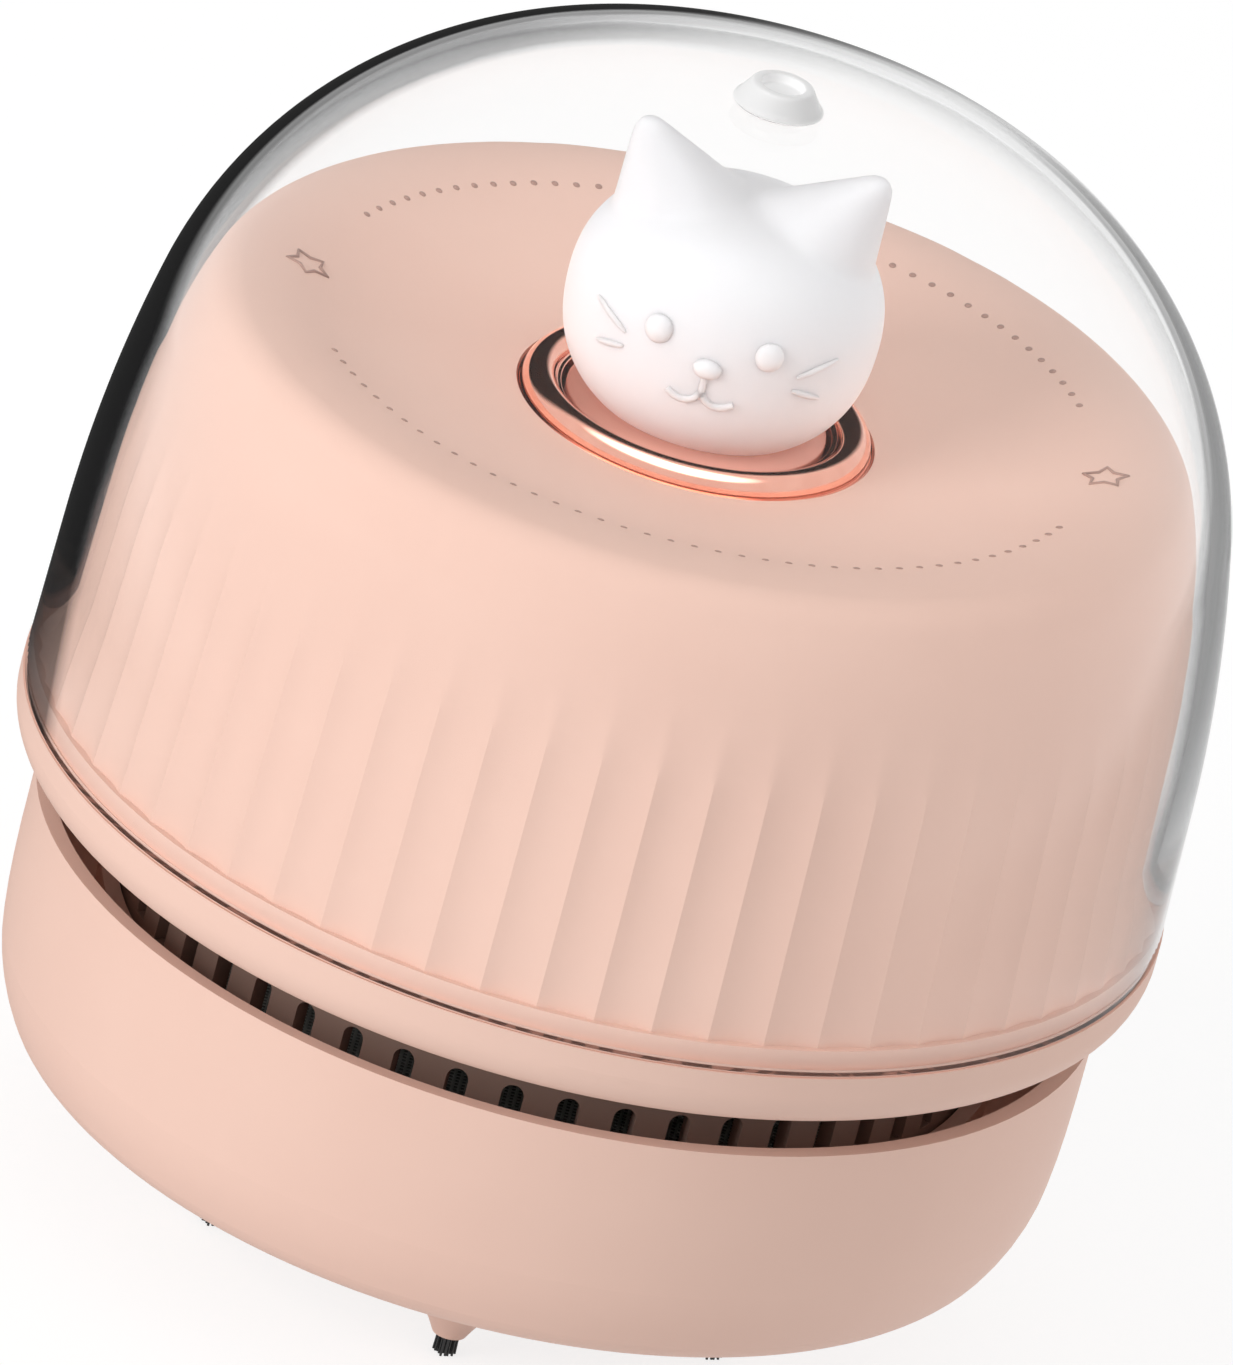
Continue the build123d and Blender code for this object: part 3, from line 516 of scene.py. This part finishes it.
card("left_floor_flag", (-0.09, 0.34, 0.002), 0.28, 1.0, 0.04, (-0.09, 0.34, 1))
card("right_floor_flag", (0.14, 0.34, 0.002), 0.22, 1.0, 0.35, (0.14, 0.34, 1))
card("back_flag", (-0.26, 0.62, 0.42), 1.4, 1.0, 0.0, (0, 0, 0.07), passed=2)
card("high_white", (-0.05, -0.10, 0.9), 1.3, 1.1, 4.0, (0, 0, 0.07), passed=2)


# ---- Clear dome ----
WIDEST_TURN = 7


def wall_line(start, lean, straight, bends, inset, pitch):
    """Points of a wall's section from its free edge to the axis, moved in by a thickness, in mm.

    A straight that leans in by some degrees is followed by bends, each with its radius and the lean
    that it ends at. The pitch is the widest spacing of the points along the bends.
    """
    tilt = math.radians(lean)
    points = [(start[0] - inset / math.cos(tilt), start[1])]
    radius = start[0] - straight * math.sin(tilt)
    height = start[1] + straight * math.cos(tilt)
    for bend_r, end in bends:
        middle = (radius - bend_r * math.cos(math.radians(lean)),
                  height - bend_r * math.sin(math.radians(lean)))
        count = math.ceil(max(math.radians(abs(end - lean)) * abs(bend_r) / pitch,
                              abs(end - lean) / WIDEST_TURN))
        for index in range(count + 1):
            angle = math.radians(lean + (end - lean) * index / count)
            points.append((middle[0] + (bend_r - inset) * math.cos(angle),
                           middle[1] + (bend_r - inset) * math.sin(angle)))
        radius = middle[0] + bend_r * math.cos(math.radians(end))
        height = middle[1] + bend_r * math.sin(math.radians(end))
        lean = end
    return [spot for spot, following in zip(points, points[1:] + [(-1, -1)])
            if math.dist(spot, following) > 1e-4]


DOME_FOOT = (45.35, 38.8)
DOME_DRAFT = 1.12
DOME_STRAIGHT = 11.6
DOME_BENDS = ((115.0, 11.7), (33.14, 66.0), (40.0, 72.0), (50.0, 78.0), (64.0, 83.0))
DOME_WALL = 1.6
DOME_PITCH = 0.6
DOME_EDGE_ROUND = 0.18
SEATED_HEIGHT = 0.7
KNOB_SUNK = 0.06
KNOB_FINISH_SUNK = 0.05
KNOB_ROOM = 0.5
KNOB_BASE_R = 3.5
KNOB_TOP_R = 2.4
KNOB_HEIGHT = 1.65
DIMPLE_R = 1.7
DIMPLE_DEEP = 0.8


def clear_cover():
    """The dome and its knob as one piece, with finishes of their own for its seated foot and its knob."""
    shoulder = wall_line(DOME_FOOT, DOME_DRAFT, DOME_STRAIGHT, DOME_BENDS, 0, 1)[-1]
    crown_r = shoulder[0] / math.cos(math.radians(DOME_BENDS[-1][1]))
    bends = (*DOME_BENDS, (crown_r, 90))
    outside, inside = (wall_line(DOME_FOOT, DOME_DRAFT, DOME_STRAIGHT, bends, inset, DOME_PITCH)
                       for inset in (0, DOME_WALL))
    top = outside[-1][1]
    knob = [(KNOB_BASE_R, top - KNOB_SUNK), (KNOB_TOP_R, top + KNOB_HEIGHT), (DIMPLE_R, top + KNOB_HEIGHT),
            (DIMPLE_R, top + KNOB_HEIGHT - DIMPLE_DEEP), (0, top + KNOB_HEIGHT - DIMPLE_DEEP)]
    outside = [spot for spot in outside if spot[0] > KNOB_BASE_R + KNOB_ROOM] + knob
    cover = spun("clear_dome_cover", outside + inside[::-1] + [outside[0]], steps=256)
    round_edges(cover, DOME_EDGE_ROUND)
    smooth(cover, angle=50)
    for material in (dome_clear, seated_clear, knob_clear):
        cover.data.materials.append(material)
    for face in cover.data.polygons:
        if face.center.z < (DOME_FOOT[1] + SEATED_HEIGHT) * MM:
            face.material_index = 1
        elif face.center.z > (top - KNOB_FINISH_SUNK) * MM:
            face.material_index = 2
    return cover


cover = clear_cover()
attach(cover, "dome")
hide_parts("dome_cover")


# ---- Fluted body ----
BODY_FOOT = (42.9, 40.4)
BODY_DRAFT = 2.5
BODY_STRAIGHT = 17.0
BODY_BENDS = ((67.0, 12.3), (30.6, 23.3), (3.0, 84.0), (14.0, 106.35))
BODY_WALL = 1.8
BODY_PITCH = 1.2
WALL_STEPS = 12
RING_SEAT_R = 14.2
FLUTES = 60
FLUTE_STEPS = 10
FLUTE_DEEP = 0.34
FLUTE_FADE = (58.0, 68.5)


def body_line():
    """Section of the body from its foot over the rounded top edge to the middle of the sunken top."""
    brow = wall_line(BODY_FOOT, BODY_DRAFT, BODY_STRAIGHT, BODY_BENDS, 0, 1)[-1]
    dish_r = -brow[0] / math.cos(math.radians(BODY_BENDS[-1][1]))
    return wall_line(BODY_FOOT, BODY_DRAFT, BODY_STRAIGHT, (*BODY_BENDS, (-dish_r, 90)), 0, BODY_PITCH)


def flute_cut(point):
    """How far a point of the outer wall goes in: wide hollows between ridges that fade out upwards."""
    share = (math.degrees(math.atan2(point.y, point.x)) + 90) * FLUTES / 360 % 1
    low, high = FLUTE_FADE
    rise = min(max((point.z / MM - low) / (high - low), 0), 1)
    return FLUTE_DEEP * MM * (1 - (2 * share - 1) ** 2) * (1 - rise * rise * (3 - 2 * rise))


def fluted_body():
    """The outer skin with its flutes, then given its wall."""
    outside = [spot for spot in body_line() if spot[0] > RING_SEAT_R]
    wall_top = outside[1]
    wall = [(BODY_FOOT[0] + (wall_top[0] - BODY_FOOT[0]) * index / WALL_STEPS,
             BODY_FOOT[1] + (wall_top[1] - BODY_FOOT[1]) * index / WALL_STEPS)
            for index in range(WALL_STEPS)]
    body = spun("fluted_body", wall + outside[1:] + [(RING_SEAT_R, outside[-1][1])],
                steps=FLUTES * FLUTE_STEPS)
    for corner in body.data.vertices:
        share = 1 - flute_cut(corner.co) / math.hypot(corner.co.x, corner.co.y)
        corner.co.x *= share
        corner.co.y *= share
    finish_with(body, "SOLIDIFY", thickness=BODY_WALL * MM, offset=-1.0)
    smooth(body, angle=22)
    return body


body = fluted_body()
dress(body, blush_painted_shade)
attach(body, "upper_unit")
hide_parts("body_shell")


# ---- Polished ring round the button ----
RING_R = 14.2
RING_LOW = 71.08
RING_EDGE_Z = 72.13
RING_SLANT = (0.15, 0.3)
ROLL_FEET = ((13.8, 71.95), (11.1, 72.6))
ROLL_RISE = 1.38
ROLL_STEPS = 24
RING_HOLE_R = 10.7
RING_EDGE_ROUND = 0.12


def roll_arc(outer, inner, rise, count):
    """Points of the roll's round back, at most a half circle, from its outer to its inner foot."""
    half = math.dist(outer, inner) / 2
    along = ((inner[0] - outer[0]) / 2 / half, (inner[1] - outer[1]) / 2 / half)
    bow_r = (half ** 2 + rise ** 2) / (2 * rise)
    sweep = math.asin(half / bow_r)
    points = []
    for index in range(count + 1):
        angle = sweep * (2 * index / count - 1)
        side, up = half + bow_r * math.sin(angle), rise - bow_r + bow_r * math.cos(angle)
        points.append((outer[0] + along[0] * side + along[1] * up,
                       outer[1] + along[1] * side - along[0] * up))
    return points


ring = spun("polished_ring", [(RING_HOLE_R, RING_LOW), (RING_R, RING_LOW),
                              (RING_R, RING_EDGE_Z - RING_SLANT[1]), (RING_R - RING_SLANT[0], RING_EDGE_Z),
                              *roll_arc(*ROLL_FEET, ROLL_RISE, ROLL_STEPS),
                              (RING_HOLE_R, ROLL_FEET[1][1]), (RING_HOLE_R, RING_LOW)], steps=192)
round_edges(ring, RING_EDGE_ROUND)
smooth(ring, angle=40)
dress(ring, rose_gold)
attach(ring, "upper_unit")
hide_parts("button_bezel")

COLLAR_LINE = ((10.3, 71.22), (10.3, 72.5), (8.4, 73.0), (6.0, 73.0), (6.0, 71.22))
collar = spun("button_collar", [*COLLAR_LINE, COLLAR_LINE[0]], steps=128)
round_edges(collar, RING_EDGE_ROUND)
smooth(collar, angle=40)
dress(collar, rose_satin)
dress(nodes["button_stem"], rose_satin)
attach(collar, "button")


# ---- Cat-head button ----
HEAD_R = 12.33 * MM
HEAD_HALF_HEIGHT = 10.7 * MM
HEAD_POWER = 2.35
EAR_ROOT = Vector((4.3, 0, 4.5)) * MM
EAR_RISE = Vector((4.65, 0, 7.7)) * MM
EAR_ROOT_R = 7.2 * MM
EAR_TIP_R = 1.35 * MM
HEAD_RISE = 9.3 * MM
CHIN_FLAT = 0.5 * MM
chin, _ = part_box("cat_head")
head_centre = Vector((0, 0, chin.z - CHIN_FLAT + HEAD_HALF_HEIGHT))


def head_blank():
    """A squarish ball with its flat chin."""
    bpy.ops.mesh.primitive_uv_sphere_add(segments=96, ring_count=64, radius=1.0)
    blank = fresh("head_blank")
    for corner in blank.data.vertices:
        flat = math.hypot(corner.co.x, corner.co.y)
        share = flat ** (2 / HEAD_POWER) / flat if flat > 1e-6 else 0
        rise = abs(corner.co.z) ** (2 / HEAD_POWER)
        corner.co.x *= share * HEAD_R
        corner.co.y *= share * HEAD_R
        corner.co.z = rise * HEAD_RISE if corner.co.z > 0 else max(-rise * HEAD_HALF_HEIGHT,
                                                                   chin.z - head_centre.z)
    blank.location = head_centre
    place_in_mesh(blank)
    return blank


def ear_blank(side):
    """A cone that leans out, with a ball for its tip that its sides run into."""
    root = head_centre + Vector((side * EAR_ROOT.x, 0, EAR_ROOT.z))
    lean = Vector((side * EAR_RISE.x, 0, EAR_RISE.z))
    slope = math.acos(EAR_TIP_R / math.hypot(EAR_ROOT_R, lean.length)) - math.atan2(lean.length, EAR_ROOT_R)
    depth = lean.length + EAR_TIP_R * math.sin(slope)
    bpy.ops.mesh.primitive_cone_add(vertices=48, radius1=EAR_ROOT_R, radius2=EAR_TIP_R * math.cos(slope),
                                    depth=depth, location=root + lean.normalized() * depth / 2,
                                    rotation=facing(lean))
    cone = fresh("ear_cone")
    bpy.ops.mesh.primitive_uv_sphere_add(segments=32, ring_count=16, radius=EAR_TIP_R,
                                         location=root + lean)
    return [cone, fresh("ear_tip")]


cat_head = join("cat_head_button", [head_blank(), *ear_blank(-1), *ear_blank(1)])
place_in_mesh(cat_head)
finish_with(cat_head, "REMESH", mode="VOXEL", voxel_size=0.3 * MM)
finish_with(cat_head, "SMOOTH", factor=0.5, iterations=24)
smooth(cat_head)


FAR_IN_FRONT = -40 * MM


def on_face(x, z):
    """Where a straight line from the front meets the head at this width and height in mm, and its normal."""
    start = Vector((x * MM, FAR_IN_FRONT, z * MM))
    _, spot, normal, _ = cat_head.ray_cast(start, Vector((0, 1, 0)))
    return spot, normal


def bead(name, x, z, wide, tall, proud):
    """A raised oval of the face, set square on the head's surface."""
    spot, normal = on_face(x, z)
    bpy.ops.mesh.primitive_uv_sphere_add(segments=32, ring_count=20, radius=1.0, location=spot,
                                         rotation=facing(normal))
    made = fresh(name)
    made.scale = (wide * MM, tall * MM, proud * MM)
    place_in_mesh(made)
    return made


LINE_PROUD = 0.06


def relief_line(name, spots, thick):
    """A raised line through these points of the face, as a tube about half sunk in the surface."""
    places = []
    for x, z, width in spots:
        spot, normal = on_face(x, z)
        places.append((spot + normal * LINE_PROUD * MM, width))
    return traced(name, places, thick=thick * MM)


WHISKER_STEPS = 10
WHISKER_END = 0.45


def whisker_points(start, end):
    """Points of a straight relief line that thins towards both ends."""
    points = []
    for index in range(WHISKER_STEPS + 1):
        share = index / WHISKER_STEPS
        width = WHISKER_END + (1 - WHISKER_END) * math.sin(math.pi * share) ** 0.5
        points.append((start[0] + (end[0] - start[0]) * share, start[1] + (end[1] - start[1]) * share, width))
    return points


EYE_SPOT = (4.36, 83.50)
EYE_R = 1.15
EYE_PROUD = 0.75
NOSE_SPOT = (0.0, 81.66)
NOSE_SIZE = (1.15, 0.8, 0.85)
MOUTH_THICK = 0.6
WHISKER_THICK = 0.52
MOUTH_STEM = ((0.0, 81.1), (0.0, 79.62))
MOUTH_BOW = ((0.0, 79.62), (0.38, 79.0), (0.95, 78.66), (1.55, 78.62), (2.1, 78.78), (2.6, 79.1))
UPPER_WHISKER = ((6.75, 81.95), (9.45, 83.2))
LOWER_WHISKER = ((6.65, 80.83), (8.75, 80.05))

features = []
for side in (-1, 1):
    features.append(bead("eye", side * EYE_SPOT[0], EYE_SPOT[1], EYE_R, EYE_R, EYE_PROUD))
    bow = [(side * x, z, 1.0) for x, z in MOUTH_BOW]
    features.append(relief_line("mouth_bow", bow, MOUTH_THICK))
    for start, end in (UPPER_WHISKER, LOWER_WHISKER):
        spots = whisker_points((side * start[0], start[1]), (side * end[0], end[1]))
        features.append(relief_line("whisker", spots, WHISKER_THICK))
features.append(relief_line("mouth_stem", [(x, z, 1.0) for x, z in MOUTH_STEM], MOUTH_THICK))
features.append(bead("nose", *NOSE_SPOT, *NOSE_SIZE))
face = join("cat_face_relief", features)
smooth(face)
for piece in (cat_head, face):
    # The bright ring would otherwise mirror the white chin all along its inside.
    piece.visible_glossy = False
    dress(piece, milk_white)
    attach(piece, "button")
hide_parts("cat_head")


# ---- Button spring ----
SPRING_WIRE = 0.7
SPRING_TURNS = 5
COIL_STEPS = 28
coil_low, coil_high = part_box("button_spring")


def button_coil():
    """The coil spring, standing on the switch board."""
    wire_r = SPRING_WIRE / 2 * MM
    coil_r = coil_high.x - wire_r
    foot, head = coil_low.z + wire_r, coil_high.z - wire_r
    spots = []
    for index in range(SPRING_TURNS * COIL_STEPS + 1):
        turn = 2 * math.pi * index / COIL_STEPS
        rise = (head - foot) * index / (SPRING_TURNS * COIL_STEPS)
        spots.append((Vector((coil_r * math.cos(turn), coil_r * math.sin(turn), foot + rise)), 1.0))
    return traced("button_coil", spots, thick=SPRING_WIRE * MM)


coil = button_coil()
smooth(coil)
dress(coil, satin_steel)
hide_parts("button_spring")
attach(coil, "upper_unit")
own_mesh(coil)


# ---- Bristle tufts ----
BRISTLE_R = 0.14 * MM
BRISTLE_TIP_SHARE = 0.8
BRISTLE_ROWS = 3
BRISTLE_PITCH = 0.29 * MM
BRISTLE_UNEVEN = 0.05 * MM
TUFT_R = 0.80 * MM
TUFT_TOP = 3.0 * MM
TUFT_SPLAY = 0.16


def bristle(x, y, index):
    """One nylon bristle of five lengths by turns, leaning out towards its tip."""
    short = (index * 7 % 5) * BRISTLE_UNEVEN
    splay = Vector((x, y)) * TUFT_SPLAY
    bpy.ops.mesh.primitive_cone_add(vertices=6, radius1=BRISTLE_R * BRISTLE_TIP_SHARE, radius2=BRISTLE_R,
                                    depth=TUFT_TOP - short, location=(x, y, (TUFT_TOP + short) / 2))
    made = fresh("bristle")
    for corner in made.data.vertices:
        if corner.co.z < 0:
            corner.co.x += splay.x
            corner.co.y += splay.y
    return made


def bristle_bundle():
    """Bristles in staggered rows within the tuft's circle, round the origin."""
    strands = []
    for row in range(-BRISTLE_ROWS, BRISTLE_ROWS + 1):
        for column in range(-BRISTLE_ROWS, BRISTLE_ROWS + 1):
            x = (column + row / 2) * BRISTLE_PITCH
            y = row * BRISTLE_PITCH * math.sqrt(3) / 2
            if math.hypot(x, y) < TUFT_R:
                strands.append(bristle(x, y, len(strands)))
    bundle = join("bristle_bundle", strands)
    place_in_mesh(bundle)
    return bundle


bundle = bristle_bundle()
for index in range(1, 7):
    low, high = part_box(f"brush_tuft_{index}")
    tuft = bundle.copy()
    tuft.data = bundle.data.copy()
    tuft.name = tuft.data.name = f"bristles_{index}"
    bpy.context.scene.collection.objects.link(tuft)
    tuft.location = ((low.x + high.x) / 2, (low.y + high.y) / 2, 0)
    place_in_mesh(tuft)
    dress(tuft, bristle_black)
    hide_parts(f"brush_tuft_{index}")
    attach(tuft, "bowl")
bpy.data.objects.remove(bundle)


# ---- Stars and dotted rings on the sunken top ----
FAR_ABOVE = 120 * MM


def on_top(radius, angle):
    """Where a vertical line meets the fluted body at this radius in mm and this angle, and its normal."""
    start = Vector((radius * MM * math.cos(math.radians(angle)),
                    radius * MM * math.sin(math.radians(angle)), FAR_ABOVE))
    _, spot, normal, _ = body.ray_cast(start, Vector((0, 0, -1)))
    return spot, normal


STAR_CIRCLE_R = 31.7
STAR_POINTS = 5
STAR_R = 1.75
STAR_WAIST = 0.56
STAR_LINE = 0.32


def star(name, angle):
    """The outline of a plump star, half sunk in the top."""
    middle, _ = on_top(STAR_CIRCLE_R, angle)
    spots = []
    for index in range(2 * STAR_POINTS):
        reach = STAR_R * (1 if index % 2 == 0 else STAR_WAIST) * MM
        turn = math.radians(angle + 90 + 180 / STAR_POINTS * index)
        place = middle + Vector((math.cos(turn), math.sin(turn), 0)) * reach
        spot, _ = on_top(math.hypot(place.x, place.y) / MM, math.degrees(math.atan2(place.y, place.x)))
        spots.append((spot, 1.0))
    return traced(name, spots, closed=True, thick=STAR_LINE * MM)


DOT_CIRCLE_R = 31.0
DOT_ARCS = ((23, 157), (206, 340))
DOT_STEP = 3.4
DOT_R = 0.3
DOT_FLATNESS = 0.3
dots = []
for first, last in DOT_ARCS:
    count = round((last - first) / DOT_STEP)
    for index in range(count + 1):
        spot, normal = on_top(DOT_CIRCLE_R, first + (last - first) * index / count)
        bpy.ops.mesh.primitive_uv_sphere_add(segments=10, ring_count=6, radius=DOT_R * MM, location=spot,
                                             rotation=facing(normal))
        dots.append(fresh("dot"))
        dots[-1].scale.z = DOT_FLATNESS
stars = join("top_stars", [star("left_star", 180), star("right_star", 0)])
dotted_rings = join("top_dots", dots)
place_in_mesh(dotted_rings)
for piece in (stars, dotted_rings):
    smooth(piece)
    dress(piece, printed_rose)
    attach(piece, "upper_unit")
